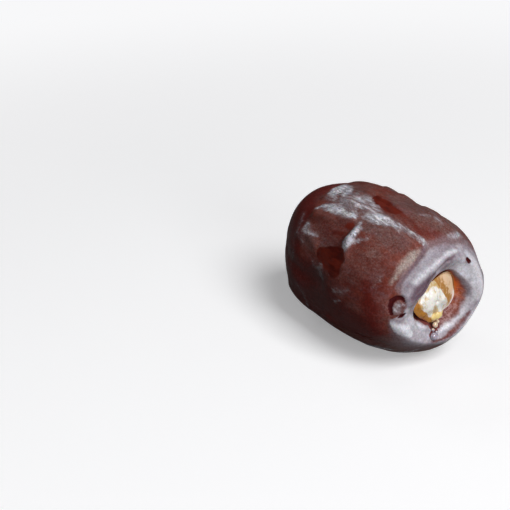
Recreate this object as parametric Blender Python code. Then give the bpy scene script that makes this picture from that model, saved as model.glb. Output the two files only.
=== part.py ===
"""A plump soft date lying on its side, with its stem end towards +X and its tip towards -X.

Metres, +Z up. The origin is on the surface that the fruit rests on, under the middle of its box.
A place on the fruit is given by x along its length and by turn, the angle round its length:
turn 0 is the top, 90 degrees is the -Y side, 180 the underside and -90 the +Y side.
"""

import math

import bmesh
import bpy
import numpy as np

# The whole fruit
HALF_LENGTH = 0.0195
HALF_WIDTH = 0.0135
HALF_HEIGHT = 0.0130
BARREL = 2.95  # power of the side outline: 2 is an ellipse, and more is squarer
STEM_END_WIDER = 0.03  # share by which the stem half is wider than the tip half
BEND = 0.0005  # how far the middle bows up from the ends
FLAT_SPOT_SINK = 0.0004  # how much of the underside is pressed flat
SMOOTH_END = 0.6  # the folds die out within this share of the half width from the axis

# The stem end: a rounded lip, a shallow bowl inside it, and the pit that the stalk came out of
LIP_RADIUS = 0.0080
LIP_HEIGHT = 0.00045
LIP_WIDTH = 0.0012
BOWL_DEPTH = 0.0013
MOUTH_RADIUS = 0.0053
PIT_DEPTH = 0.0030
STEEP_WALL = 0.0009
SLOPED_WALL = 0.0024
WALL_OUTSIDE_MOUTH = 0.3  # share of the wall's width that lies outside the mouth's radius
GROOVE_TURN = math.radians(42)  # the middle of the furrow that runs behind the lip
GROOVE_REACH = math.radians(34)
GROOVE_DEPTH = 0.0005
GROOVE_OUT = 0.0021  # from the lip's crest out to the furrow's middle
GROOVE_WIDTH = 0.0009

# The pale remnant of the stalk: a torn plug of fibre that leans on one side of the pit
LEAN = math.radians(65)  # the turn of the side of the pit that it leans on
REMNANT_GAP = 0.0003
REMNANT_RADIUS = 0.0041
REMNANT_TOP_LEVEL = 0.36  # how far down the pit's wall its top edge lies
REMNANT_CROWN = 0.0005  # how far its middle stands above its edge
REMNANT_FOOT = 0.9  # size of its foot, as a share of its top
REMNANT_FIBRES = 7
REMNANT_FIBRE_STRAY = 0.8  # how far the fibres stray from even spacing, in radians
REMNANT_FIBRE_HEIGHT = 0.00022

# Mesh density
TURNS = 80
FLOOR_RINGS = 3
WALL_RINGS = 7
BOWL_RINGS = 6
BODY_RINGS = 38
REMNANT_TURNS = 36
REMNANT_RINGS = 6
PROFILE_SAMPLES = 2000

# Finishes
SKIN_COLOUR = (0.075, 0.022, 0.018)
SKIN_ROUGHNESS = 0.3
FIBRE_COLOUR = (0.62, 0.42, 0.16)
FIBRE_ROUGHNESS = 0.35

# How the lip and the mouth of the pit depart from circles: turn in degrees, half width in degrees, metres
LIP_WAVES = ((45, 30, -0.0018), (-50, 32, 0.0014), (112, 20, 0.0007), (180, 30, -0.0004))
MOUTH_WAVES = ((-100, 45, 0.0011), (-25, 22, 0.0005), (50, 36, -0.0010), (150, 28, -0.0007))
REMNANT_WAVES = (
    (-30, 26, 0.0014), (-135, 32, -0.0015), (-170, 30, -0.0003),
    (80, 24, 0.00075), (55, 55, 0.00035), (140, 18, -0.00035),
)

# Folds and furrows of the skin: points as (x in metres, turn in degrees), half width, height
FOLDS = (
    (((0.0052, 48), (0.0089, 29), (0.0125, 20), (0.0168, 16)), 0.0010, 0.00045),
    (((0.0057, 39), (0.0060, 47), (0.0068, 57)), 0.0010, 0.00040),
    (((-0.0064, 42), (-0.0015, 40), (0.0030, 33)), 0.0011, 0.00045),
    (((-0.0085, 24), (-0.0050, 19), (0.0005, 21)), 0.0010, 0.00040),
    (((-0.0078, 62), (-0.0050, 58), (-0.0020, 63)), 0.0011, 0.00030),
    (((-0.0010, 10), (0.0062, 11), (0.0120, 8)), 0.0014, -0.00045),
    (((-0.0110, 84), (-0.0040, 92), (0.0020, 88)), 0.0014, -0.00035),
    (((-0.0100, 116), (-0.0040, 122), (0.0030, 118)), 0.0012, 0.00040),
    (((-0.0140, -20), (-0.0060, -12), (0.0010, -16)), 0.0011, 0.00040),
    (((0.0020, -22), (0.0080, -18), (0.0140, -26)), 0.0012, 0.00040),
    (((-0.0130, -78), (-0.0030, -86), (0.0070, -80), (0.0140, -70)), 0.0018, -0.00090),
    (((-0.0120, -62), (-0.0040, -64), (0.0060, -58)), 0.0012, 0.00040),
    (((-0.0070, -34), (-0.0060, -42), (-0.0072, -52)), 0.0010, 0.00040),
    (((-0.0015, -32), (-0.0005, -42), (-0.0018, -50)), 0.0010, 0.00040),
    (((0.0045, -34), (0.0050, -44), (0.0040, -52)), 0.0010, 0.00035),
    (((-0.0090, -112), (-0.0010, -118), (0.0080, -110)), 0.0013, 0.00045),
    (((0.0020, -136), (0.0070, -130), (0.0120, -134)), 0.0012, -0.00040),
    (((0.0040, 134), (0.0090, 128), (0.0140, 132)), 0.0013, -0.00040),
)

# Knobs and hollows on the lip: distance from the axis, turn in degrees, half width, height
LIP_KNOBS = ((0.0073, 112, 0.0016, 0.00035), (0.0098, 100, 0.0010, -0.00025))

# Fuller and flatter places: x in metres, turn in degrees, half width, height
BULGES = (
    (-0.0135, 84, 0.0070, -0.00075),
    (-0.0080, 128, 0.0065, 0.00060),
    (0.0135, -70, 0.0060, 0.00065),
    (-0.0010, -36, 0.0070, -0.00050),
    (0.0155, -114, 0.0050, -0.00035),
)

# Broad swells of the flesh: waves along the length, waves round it, phase in degrees, height
SWELLS = ((1, 2, 25, 0.00025), (2, 3, 140, 0.00022), (3, 2, 250, 0.00016), (2, 5, 60, 0.00014))

# The tip: a small scar with puckers running into it
TIP_PUCKERS = 9
TIP_PUCKER_STRAY = 1.5  # how far the puckers stray from even spacing, in radians
TIP_PUCKER_DEPTH = 0.00030
TIP_PUCKER_REACH = 0.0060
TIP_SCAR_RADIUS = 0.0011
TIP_SCAR_DEPTH = 0.0007


def smooth_step(value):
    """Rises from 0 to 1 with level ends as value goes from 0 to 1."""
    held = np.clip(value, 0.0, 1.0)
    return held * held * (3.0 - 2.0 * held)


def bell(value):
    """A bump of height 1 at 0, about 1 wide each way."""
    return np.exp(-value * value)


def turn_between(turn, middle):
    """The shorter way round from middle to turn."""
    return np.arctan2(np.sin(turn - middle), np.cos(turn - middle))


def waved_radius(turn, radius, waves):
    """A circle's radius with a bump or a dent at each wave's own turn."""
    result = np.full_like(turn, radius)
    for middle, half_width, height in waves:
        away = turn_between(turn, math.radians(middle))
        result = result + height * bell(away / math.radians(half_width))
    return result


def side_outline():
    """The barrel's side outline from the stem pole to the tip pole: length run, x, radius."""
    angle = np.linspace(0.0, math.pi, PROFILE_SAMPLES)
    along = np.cos(angle)
    x = HALF_LENGTH * along
    radius = HALF_WIDTH * (1.0 - np.abs(along) ** BARREL) ** (1.0 / BARREL)
    radius = radius * (1.0 + STEM_END_WIDER * along)
    run = np.concatenate(([0.0], np.cumsum(np.hypot(np.diff(x), np.diff(radius)))))
    return run, x, radius


RUN, OUTLINE_X, OUTLINE_RADIUS = side_outline()
FRONT = slice(0, PROFILE_SAMPLES // 3)  # the part of the outline that crosses the stem end


def run_at_radius(radius):
    """The length run along the outline to where the stem end has this radius."""
    return np.interp(radius, OUTLINE_RADIUS[FRONT], RUN[FRONT])


def wall_width(turn):
    """The pit's wall is steep where the remnant leans on it, and sloped on the other side."""
    sloped = 0.5 - 0.5 * np.cos(turn - LEAN)
    return STEEP_WALL + (SLOPED_WALL - STEEP_WALL) * sloped


def wall_radius(turn, level):
    """The radius of the pit's wall at a level: 0 is the wall's top edge, and 1 its foot."""
    mouth = waved_radius(turn, MOUTH_RADIUS, MOUTH_WAVES)
    return mouth + wall_width(turn) * (WALL_OUTSIDE_MOUTH - level)


def stem_end_relief(radius, turn):
    """How far the stem end's surface stands out along x from the plain barrel."""
    lip = waved_radius(turn, LIP_RADIUS, LIP_WAVES)
    mouth = waved_radius(turn, MOUTH_RADIUS, MOUTH_WAVES)
    groove = bell((turn - GROOVE_TURN) / GROOVE_REACH) * bell((radius - lip - GROOVE_OUT) / GROOVE_WIDTH)
    relief = LIP_HEIGHT * bell((radius - lip) / LIP_WIDTH) - GROOVE_DEPTH * groove
    relief = relief - BOWL_DEPTH * smooth_step((lip - radius) / (lip - mouth))
    for middle_radius, middle_turn, half_width, height in LIP_KNOBS:
        across = middle_radius * turn_between(turn, math.radians(middle_turn))
        relief = relief + height * bell(np.hypot(radius - middle_radius, across) / half_width)
    return relief - PIT_DEPTH * smooth_step((wall_radius(turn, 0.0) - radius) / wall_width(turn))


def distance_to_fold(x, turn, points):
    """Distance over the skin from each place to a fold's line, in metres."""
    across = HALF_WIDTH * turn
    nearest = np.full_like(x, 1.0)
    for (x0, turn0), (x1, turn1) in zip(points, points[1:]):
        start = np.array((x0, HALF_WIDTH * math.radians(turn0)))
        leg = np.array((x1, HALF_WIDTH * math.radians(turn1))) - start
        share = ((x - start[0]) * leg[0] + (across - start[1]) * leg[1]) / (leg @ leg)
        share = np.clip(share, 0.0, 1.0)
        away = np.hypot(x - start[0] - share * leg[0], across - start[1] - share * leg[1])
        nearest = np.minimum(nearest, away)
    return nearest


def skin_relief(x, turn):
    """How far the folds, the broad swells and the tip's puckers move the skin outwards."""
    relief = np.zeros_like(x)
    for points, half_width, height in FOLDS:
        relief = relief + height * bell(distance_to_fold(x, turn, points) / half_width)
    for middle_x, middle_turn, half_width, height in BULGES:
        across = HALF_WIDTH * turn_between(turn, math.radians(middle_turn))
        relief = relief + height * bell(np.hypot(x - middle_x, across) / half_width)
    for along, around, phase, height in SWELLS:
        lengthwise = np.cos(along * math.pi * x / HALF_LENGTH + math.radians(phase))
        relief = relief + height * lengthwise * np.cos(around * turn + along)
    return relief


def tip_relief(radius, turn):
    """How far the tip's scar and puckers sink in, by the distance from the tip pole."""
    puckers = 0.5 + 0.5 * np.cos(TIP_PUCKERS * turn + TIP_PUCKER_STRAY * np.sin(2.0 * turn))
    reach = smooth_step(radius / TIP_SCAR_RADIUS) * bell(radius / TIP_PUCKER_REACH)
    return TIP_PUCKER_DEPTH * puckers * reach + TIP_SCAR_DEPTH * bell(radius / TIP_SCAR_RADIUS)


def fruit_surface(run, turn):
    """Points of the fruit's skin for a length run along the outline and a turn round it."""
    base_x = np.interp(run, RUN, OUTLINE_X)
    base_radius = np.interp(run, RUN, OUTLINE_RADIUS)
    step = RUN[-1] / PROFILE_SAMPLES
    slope_x = np.interp(run + step, RUN, OUTLINE_X) - np.interp(run - step, RUN, OUTLINE_X)
    slope_r = np.interp(run + step, RUN, OUTLINE_RADIUS) - np.interp(run - step, RUN, OUTLINE_RADIUS)
    length = np.hypot(slope_x, slope_r)
    out_x, out_r = slope_r / length, -slope_x / length
    at_stem = base_x > 0.0
    body = smooth_step(base_radius / (SMOOTH_END * HALF_WIDTH))
    out = skin_relief(base_x, turn) * body
    out = out - np.where(at_stem, 0.0, tip_relief(base_radius, turn))
    end = np.where(at_stem, stem_end_relief(base_radius, turn), 0.0)
    x = base_x + out * out_x + end
    radius = base_radius + out * out_r
    y = -radius * np.sin(turn)
    z = radius * np.cos(turn) * HALF_HEIGHT / HALF_WIDTH + BEND * (1.0 - (base_x / HALF_LENGTH) ** 2)
    return np.stack((x, y, z), axis=-1)


def press_flat(points):
    """Sets the fruit down: its underside is pressed flat at z = 0, and its box is centred on the origin."""
    floor = points[..., 2].min() + FLAT_SPOT_SINK
    middle = 0.5 * (points[..., 0].max() + points[..., 0].min())
    side = 0.5 * (points[..., 1].max() + points[..., 1].min())
    moved = points - np.array((middle, side, floor))
    moved[..., 2] = np.maximum(moved[..., 2], 0.0)
    return moved, np.array((middle, side, floor))


def closed_mesh(name, first_pole, rings, last_pole):
    """A closed mesh from rings of points, joined ring to ring, with a fan to a pole at each end."""
    form = bmesh.new()
    count = rings.shape[1]
    loops = [[form.verts.new(point) for point in ring] for ring in rings]
    start, end = form.verts.new(first_pole), form.verts.new(last_pole)
    for i in range(count):
        j = (i + 1) % count
        form.faces.new((start, loops[0][j], loops[0][i]))
        form.faces.new((end, loops[-1][i], loops[-1][j]))
        for inner, outer in zip(loops, loops[1:]):
            form.faces.new((inner[i], inner[j], outer[j], outer[i]))
    bmesh.ops.recalc_face_normals(form, faces=form.faces)
    mesh = bpy.data.meshes.new(name)
    form.to_mesh(mesh)
    form.free()
    return mesh


def plain_material(name, colour, roughness):
    """A plain coloured finish."""
    material = bpy.data.materials.new(name)
    material.use_nodes = True
    shader = material.node_tree.nodes["Principled BSDF"]
    shader.inputs["Base Color"].default_value = (*colour, 1.0)
    shader.inputs["Roughness"].default_value = roughness
    shader.inputs["Metallic"].default_value = 0.0
    return material


def add_object(mesh, material):
    """Puts a mesh in the scene, shaded smooth, under its own name."""
    mesh.materials.append(material)
    mesh.shade_smooth()
    bpy.context.scene.collection.objects.link(bpy.data.objects.new(mesh.name, mesh))


def make_fruit():
    """The flesh and its skin, grown as one piece, from the floor of the pit over the lip to the tip."""
    turn = np.linspace(-math.pi, math.pi, TURNS, endpoint=False)
    levels = np.linspace(1.0, 0.0, WALL_RINGS)
    run_wall = np.stack([run_at_radius(wall_radius(turn, level)) for level in levels])
    run_lip = run_at_radius(waved_radius(turn, LIP_RADIUS, LIP_WAVES))
    floor = np.arange(1, FLOOR_RINGS) / FLOOR_RINGS
    bowl = np.arange(1, BOWL_RINGS + 1) / BOWL_RINGS
    body = np.arange(1, BODY_RINGS) / BODY_RINGS
    runs = np.concatenate((
        np.outer(floor, run_wall[0]),
        run_wall,
        run_wall[-1] + np.outer(bowl, run_lip - run_wall[-1]),
        run_lip + np.outer(body, RUN[-1] - run_lip),
    ))
    rings = fruit_surface(runs, np.broadcast_to(turn, runs.shape))
    poles = fruit_surface(np.array((0.0, RUN[-1])), np.zeros(2))
    placed, moved_by = press_flat(np.concatenate((rings.reshape(-1, 3), poles)))
    mesh = closed_mesh("date_fruit", placed[-2], placed[:-2].reshape(rings.shape), placed[-1])
    add_object(mesh, plain_material("date_skin", SKIN_COLOUR, SKIN_ROUGHNESS))
    return moved_by


def make_remnant(moved_by):
    """The pale plug of torn fibre, with raised fibres on its top and a clear gap to the pit's wall."""
    turn = np.linspace(-math.pi, math.pi, REMNANT_TURNS, endpoint=False)
    outline = waved_radius(turn, REMNANT_RADIUS, REMNANT_WAVES)
    top_edge = np.minimum(outline, wall_radius(turn, REMNANT_TOP_LEVEL) - REMNANT_GAP)
    foot_edge = np.minimum(REMNANT_FOOT * outline, wall_radius(turn, 1.0) - REMNANT_GAP)
    pit_floor = HALF_LENGTH - BOWL_DEPTH - PIT_DEPTH
    edge_x = pit_floor + PIT_DEPTH * (1.0 - smooth_step(REMNANT_TOP_LEVEL))
    shares = np.arange(1, REMNANT_RINGS + 1) / REMNANT_RINGS
    fibres = np.cos(REMNANT_FIBRES * turn + REMNANT_FIBRE_STRAY * np.sin(3.0 * turn))
    ruffled = REMNANT_FIBRE_HEIGHT * np.outer(np.sin(shares * math.pi), fibres)
    top_x = edge_x + REMNANT_CROWN * (1.0 - shares ** 3)[:, None] + ruffled
    foot_x = np.full((REMNANT_RINGS, REMNANT_TURNS), pit_floor + REMNANT_GAP)
    radius = np.concatenate((np.outer(shares, top_edge), np.outer(shares[::-1], foot_edge)))
    x = np.concatenate((top_x, foot_x))
    squash = HALF_HEIGHT / HALF_WIDTH
    rings = np.stack((x, -radius * np.sin(turn), radius * np.cos(turn) * squash), axis=-1) - moved_by
    top_pole = np.array((edge_x + REMNANT_CROWN, 0.0, 0.0)) - moved_by
    foot_pole = np.array((pit_floor + REMNANT_GAP, 0.0, 0.0)) - moved_by
    mesh = closed_mesh("stalk_remnant", top_pole, rings, foot_pole)
    add_object(mesh, plain_material("stalk_fibre", FIBRE_COLOUR, FIBRE_ROUGHNESS))


def main():
    """Clears the scene and makes the two pieces of the date."""
    for thing in list(bpy.data.objects):
        bpy.data.objects.remove(thing, do_unlink=True)
    moved_by = make_fruit()
    make_remnant(moved_by)


main()
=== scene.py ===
"""A plump soft date at rest, seen from its stem end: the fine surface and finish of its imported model.

Metres, +Z up, as in the model. A place on the fruit is given by run, the length over the skin from the
middle of the stem end towards the tip, and by turn, the angle round the fruit's length: turn 0 is the top,
90 degrees the -Y side, 180 the underside and -90 the +Y side. Lists of places hold millimetres and degrees.
"""

import math

import bmesh
import bpy
import numpy as np
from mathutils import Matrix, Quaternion, Vector


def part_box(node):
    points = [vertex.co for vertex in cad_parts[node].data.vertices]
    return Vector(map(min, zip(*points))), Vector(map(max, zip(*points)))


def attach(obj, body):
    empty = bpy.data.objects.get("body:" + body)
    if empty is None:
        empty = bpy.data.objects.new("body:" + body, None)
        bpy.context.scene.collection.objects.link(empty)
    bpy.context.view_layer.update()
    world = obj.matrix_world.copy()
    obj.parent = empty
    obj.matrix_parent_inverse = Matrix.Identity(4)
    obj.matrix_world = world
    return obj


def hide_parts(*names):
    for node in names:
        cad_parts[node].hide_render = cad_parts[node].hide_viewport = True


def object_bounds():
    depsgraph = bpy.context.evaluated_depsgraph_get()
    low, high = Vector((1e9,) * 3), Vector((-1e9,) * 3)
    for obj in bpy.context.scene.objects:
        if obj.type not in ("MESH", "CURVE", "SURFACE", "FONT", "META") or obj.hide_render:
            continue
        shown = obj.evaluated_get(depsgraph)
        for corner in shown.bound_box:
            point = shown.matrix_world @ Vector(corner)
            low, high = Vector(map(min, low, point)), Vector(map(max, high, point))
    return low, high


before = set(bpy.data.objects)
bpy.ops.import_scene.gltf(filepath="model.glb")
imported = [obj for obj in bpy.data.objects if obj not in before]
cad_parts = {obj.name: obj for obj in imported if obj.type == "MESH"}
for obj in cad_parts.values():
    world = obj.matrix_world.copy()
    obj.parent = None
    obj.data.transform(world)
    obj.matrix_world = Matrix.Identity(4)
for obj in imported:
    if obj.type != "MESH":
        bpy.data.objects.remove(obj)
cad_low, cad_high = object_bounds()
MM = 0.001


# The flesh and its skin.
# One grown piece: a barrel of soft flesh under a thin skin, which loosens as the fruit ripens, lifts in
# silvery folds and tears away in places. A bowl and a pit mark where the stalk was pulled out.

HALF_LENGTH = 19.5 * MM
HALF_WIDTH = 13.5 * MM
HALF_HEIGHT = 13 * MM
BARREL = 2.95  # power of the side outline: 2 is an ellipse, and more is squarer
STEM_END_WIDER = 0.03
BEND = 0.5 * MM
FLAT_SPOT_SINK = 0.4 * MM
SMOOTH_END = 0.6  # the folds die out within this share of the half width from the axis
LIP_RADIUS = 8 * MM
LIP_HEIGHT = 0.45 * MM
LIP_WIDTH = 1.2 * MM
BOWL_DEPTH = 1.3 * MM
MOUTH_RADIUS = 5.3 * MM
PIT_DEPTH = 3 * MM
STEEP_WALL = 0.9 * MM
SLOPED_WALL = 2.4 * MM
WALL_OUTSIDE_MOUTH = 0.3
LEAN = math.radians(65)  # the steep side of the pit
GROOVE_TURN = math.radians(42)
GROOVE_REACH = math.radians(34)
GROOVE_DEPTH = 0.5 * MM
GROOVE_OUT = 2.1 * MM
GROOVE_WIDTH = 0.9 * MM
TIP_PUCKERS = 9
TIP_PUCKER_STRAY = 1.5
TIP_PUCKER_DEPTH = 0.3 * MM
TIP_PUCKER_REACH = 6 * MM
TIP_SCAR_RADIUS = 1.1 * MM
TIP_SCAR_DEPTH = 0.7 * MM

# Waves of the lip and of the pit's mouth: turn, half width in degrees, height
LIP_WAVES = ((45, 30, -1.8), (-50, 32, 1.4), (112, 20, 0.7), (180, 30, -0.4))
MOUTH_WAVES = ((-100, 45, 1.1), (-25, 22, 0.5), (50, 36, -1), (150, 28, -0.7))
LIP_KNOBS = ((7.3, 112, 1.6, 0.35), (9.8, 100, 1, -0.25))

# Main folds and furrows: points as (x, turn), half width, height
FOLDS = (
    (((5.2, 48), (8.9, 29), (12.5, 20), (16.8, 16)), 1, 0.45),
    (((5.7, 39), (6, 47), (6.8, 57)), 1, 0.4),
    (((-6.4, 42), (-1.5, 40), (3, 33)), 1.1, 0.45),
    (((-8.5, 24), (-5, 19), (0.5, 21)), 1, 0.4),
    (((-7.8, 62), (-5, 58), (-2, 63)), 1.1, 0.3),
    (((-1, 10), (6.2, 11), (12, 8)), 1.4, -0.45),
    (((-11, 84), (-4, 92), (2, 88)), 1.4, -0.35),
    (((-10, 116), (-4, 122), (3, 118)), 1.2, 0.4),
    (((-14, -20), (-6, -12), (1, -16)), 1.1, 0.4),
    (((2, -22), (8, -18), (14, -26)), 1.2, 0.4),
    (((-13, -78), (-3, -86), (7, -80), (14, -70)), 1.8, -0.9),
    (((-12, -62), (-4, -64), (6, -58)), 1.2, 0.4),
    (((-7, -34), (-6, -42), (-7.2, -52)), 1, 0.4),
    (((-1.5, -32), (-0.5, -42), (-1.8, -50)), 1, 0.4),
    (((4.5, -34), (5, -44), (4, -52)), 1, 0.35),
    (((-9, -112), (-1, -118), (8, -110)), 1.3, 0.45),
    (((2, -136), (7, -130), (12, -134)), 1.2, -0.4),
    (((4, 134), (9, 128), (14, 132)), 1.3, -0.4),
)

# Fuller and flatter places: x, turn, half width, height
BULGES = (
    (-13.5, 84, 7, -0.75),
    (-8, 128, 6.5, 0.6),
    (13.5, -70, 6, 0.65),
    (-1, -36, 7, -0.5),
    (15.5, -114, 5, -0.35),
)

# Broad swells: waves along the length, waves round it, phase in degrees, height
SWELLS = ((1, 2, 25, 0.25), (2, 3, 140, 0.22), (3, 2, 250, 0.16), (2, 5, 60, 0.14))

# Loose skin that has lifted and gone silvery, its bluish sheen partly painted: places as (run, turn, half
# width), then how silvery it is
SILVER_PATCHES = (
    (((37.4, 3, 0.6), (36.8, 10, 1.2), (36, 16, 1.1), (35.4, 20, 0.6)), 1.5),
    (((36, 3, 0.8), (34.6, 8, 1), (33.4, 14, 1), (32.2, 18, 0.6)), 0.8),
    (((31.4, 9, 0.5), (30, 13, 1), (28.4, 14, 1)), 0.65),
    (((28.8, 20, 0.6), (26.8, 20, 0.9), (25.2, 19, 0.9)), 0.6),
    (((30.4, 14, 1.8), (27.2, 13, 2.4), (24.2, 16, 2)), 0.48),
    (((35.6, 24, 0.8), (31, 21, 1.6), (27.4, 23, 1.6)), 0.44),
    (((35.4, 36, 0.4), (34.5, 33, 0.7), (32.4, 31, 1), (29.4, 31, 1.1), (27, 31, 1),
      (25.2, 30, 0.5)), 0.95),
    (((23.6, 25, 0.6), (21.8, 22, 1.3), (20, 19, 1.3), (18.2, 18, 0.8)), 0.82),
    (((20.6, 38, 0.6), (19.8, 34, 0.7), (18.6, 29, 0.8), (17.4, 24, 0.8)), 0.24),
    (((17.6, 17, 0.9), (15.6, 14, 0.6), (13.6, 10, 0.45), (12, 8, 0.6), (10.6, 6, 0.5)), 0.6),
    (((23, 32, 0.2), (22.1, 39, 0.8), (21.9, 46, 0.8), (22.2, 53, 0.6), (22.6, 58, 0.4)), 1),
    (((21, 46, 0.4), (20.4, 43, 0.5), (19.4, 40, 0.3)), 0.7),
    (((34.9, 51, 0.5), (34.4, 56, 1.1), (32.4, 57, 0.7), (30.3, 57, 0.4)), 0.55),
    (((28.8, 78, 0.5), (26.7, 79, 1), (25.4, 83, 0.7)), 0.45),
    (((38.2, 46, 0.6), (37.4, 54, 0.9), (36.6, 62, 0.9), (33.8, 64, 0.7)), 0.32),
    (((21, 86, 0.8), (19.4, 84, 0.8), (18, 80, 0.6)), 0.38),
    (((37.1, 69, 0.4), (35.6, 79, 0.6), (36.6, 90, 0.4)), 0.3),
    (((33.6, 105, 0.4), (32.1, 110, 0.8), (31.2, 117, 0.6)), 0.4),
    (((21.2, 95, 0.4), (19.8, 92, 0.3)), 0.45),
    (((13, 55, 0.4), (13.2, 62, 0.6), (13.6, 67, 0.3)), 0.35),
    (((13.8, -35, 0.6), (12.9, -28, 0.7), (12.3, -21, 0.5)), 0.8),
    (((12.8, -44, 0.3), (12, -40, 0.4), (11.5, -38, 0.3)), 0.8),
    (((18, -6, 0.3), (17.4, -16, 0.4), (15.4, -19, 0.3)), 0.45),
    (((9.2, 85, 0.5), (8.8, 77, 0.6)), 0.6),
)

# The same in straw-coloured streaks, beside the lip
PALE_PATCHES = (
    (((11.3, 19, 0.5), (11.2, 26, 1), (10.9, 33, 1), (11, 41, 0.9), (11, 50, 0.6),
      (11.2, 58, 0.3)), 0.9),
    (((13.3, 60, 0.5), (13.5, 66, 0.4)), 0.3),
    (((17, 46, 1.2), (15.2, 44, 1)), 0.25),
)

# Places where the skin has torn away from the glossy flesh
PEELED_PATCHES = (
    (((27.6, 67, 1.1), (25.4, 63, 1.6), (22.8, 61, 1.6), (21.9, 62, 1)), 1),
    (((23.6, 65, 1.8), (23, 70, 2.1), (23.3, 73, 1.3)), 1),
    (((26.2, 67, 1), (24.6, 71, 1.2)), 1),
    (((27.2, 3, 0.9), (25.4, 4, 1.1), (23, 7, 1), (20.6, 5, 0.7)), 1),
    (((20.4, 4, 0.5), (17, 4, 0.5), (14, 5, 0.4)), 0.5),
    (((25, 39, 0.6), (24.2, 37, 0.7)), 0.7),
    (((27, 48, 0.5), (25, 46, 0.5)), 0.6),
)

# Places with little haze, redder than the rest
CLEAR_PATCHES = (
    (((44, 0, 4), (42, 40, 5), (40, 70, 6), (38, 100, 6)), 0.9),
    (((31, 44, 1.8), (26, 48, 1.2)), 0.2),
    (((36, 100, 6), (26, 104, 6), (15, 112, 4)), 0.9),
    (((33, 80, 2), (24, 84, 2.5), (16, 86, 2)), 0.5),
    (((14, 6, 0.8), (13, -12, 0.8), (12.6, -24, 0.6)), 0.5),
    (((14.6, 70, 1.2), (13.4, 90, 2), (13, 110, 2)), 0.8),
)

# Small dark tears: spine, depth
TEARS = (
    (((9.9, 89, 0.2), (10.15, 81, 0.35), (10, 75, 0.35), (9.4, 70, 0.35), (8.6, 68, 0.3),
      (8.2, 73, 0.15)), 0.22),
    (((8.9, 93, 0.15), (8.4, 90, 0.27), (7.8, 87, 0.12)), 0.45),
    (((9.4, -41, 0.36), (9.2, -45, 0.36)), 0.3),
)

# Small rises and hollows round the lip: spine, height
RIDGES = (
    (((8.4, 68, 0.4), (8, 54, 0.6), (7.8, 43, 0.7), (7.8, 31, 0.7), (8, 20, 0.7), (8.3, 9, 0.6),
      (8.8, -2, 0.6), (9.4, -12, 0.5), (10, -24, 0.4)), 0.32),
    (((7.1, 64, 0.4), (6.8, 53, 0.6), (6.5, 42, 0.7), (6.5, 30, 0.7), (6.5, 18, 0.7), (6.7, 6, 0.6),
      (7.4, -2, 0.5), (8.3, -9, 0.4)), -0.4),
    (((10, 58, 0.4), (9.7, 50, 0.5), (9.5, 40, 0.5), (9.6, 28, 0.5), (10.4, 18, 0.4),
      (11.2, 11, 0.3)), -0.15),
    (((8.9, -30, 0.4), (8.2, -24, 0.5), (6.9, -16, 0.4)), 0.12),
    (((9.5, 102, 0.8), (8.2, 110, 1.1)), 0.25),
    (((4.5, 106, 0.3), (4.4, 120, 0.45), (4.3, 136, 0.5), (4.4, 150, 0.45), (4.6, 162, 0.3)), 0.55),
)

# Whiter places of the lip's film: partly whiter film, mostly painted highlights and painted light
WHITER_FILM_AND_HIGHLIGHT_PATCHES = (
    (((7.9, 46, 0.15), (7.9, 41, 0.3), (7.9, 31, 0.35), (8.1, 20, 0.35), (8.4, 9, 0.35), (8.9, -2, 0.3),
      (9.5, -12, 0.3), (10, -22, 0.2), (10.4, -28, 0.1)), 0.8),
    (((8.6, -34, 0.7), (7.6, -22, 0.4), (6.6, -14, 0.2)), 0.5),
    (((10.4, -38, 0.5), (9.8, -54, 0.9), (8.6, -66, 1.3), (8, -80, 1.2), (7.4, -94, 0.7),
      (7, -104, 0.4)), 0.6),
    (((6.7, -96, 0.3), (6.7, -112, 0.3), (6.6, -126, 0.3), (6.1, -138, 0.3), (5.9, -150, 0.2)), 0.7),
    (((9.8, 101, 0.6), (9, 107, 1.1), (8, 112, 1), (7.4, 124, 0.4)), 1),
    (((7.8, 112, 1.2), (6.8, 128, 1.3), (6.4, 146, 1), (6.2, 160, 0.6)), 0.15),
    (((6.1, -146, 0.25), (5.8, -160, 0.4), (6, -176, 0.25)), 1),
    (((9.2, -92, 0.6), (8.7, -108, 0.7), (8.5, -124, 0.8), (8.5, -138, 0.8), (8.5, -154, 0.7),
      (8.6, -168, 0.5)), 0.75),
    (((7.3, 84, 0.6), (6.8, 98, 0.9), (6.3, 112, 0.8), (5.9, 126, 0.4)), 0.45),
    (((7.8, -26, 0.5), (7.5, -42, 1), (7.3, -60, 0.9)), 0.5),
    (((5.4, 104, 0.1), (5.2, 120, 0.14), (5.1, 138, 0.14), (5.1, 150, 0.1)), 0.8),
)
# Painted shade on and beside the film: in the furrow behind the crest, under the crest's overhang, next to
# the plug, and a darker band along the low rim
PAINTED_SHADE_PATCHES = (
    (((9.9, 58, 0.3), (9.7, 52, 0.4), (9.5, 44, 0.45), (9.5, 35, 0.45), (9.8, 26, 0.4), (10.4, 19, 0.35),
      (11.3, 11, 0.3)), 0.8),
    (((7.3, 66, 0.4), (7.1, 53, 0.4), (6.8, 41, 0.5), (6.8, 30, 0.5), (6.8, 20, 0.5), (6.9, 8, 0.5),
      (7.5, -1, 0.4), (8.4, -9, 0.35), (9.1, -18, 0.2)), 1),
    (((6.5, 62, 0.5), (6.2, 45, 0.6), (6.1, 30, 0.6), (6, 12, 0.4)), 1),
    (((8.2, -105, 0.1), (7.6, -120, 0.2), (7.4, -136, 0.25), (7.3, -151, 0.25), (7.3, -170, 0.25)), 0.5),
)

# Greyer, granular skin above the lip and along the top
HAZY_PATCHES = (
    (((24, -14, 3), (18, -14, 3.5), (13, -34, 3)), 0.65),
    (((34, 2, 2.5), (29, 20, 2), (22, 24, 2.5), (15, 24, 2.5)), 0.5),
    (((11.5, 126, 1.5), (13, 140, 2.5), (12, 158, 2.5), (9.5, 176, 1.5)), 0.6),
)
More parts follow.
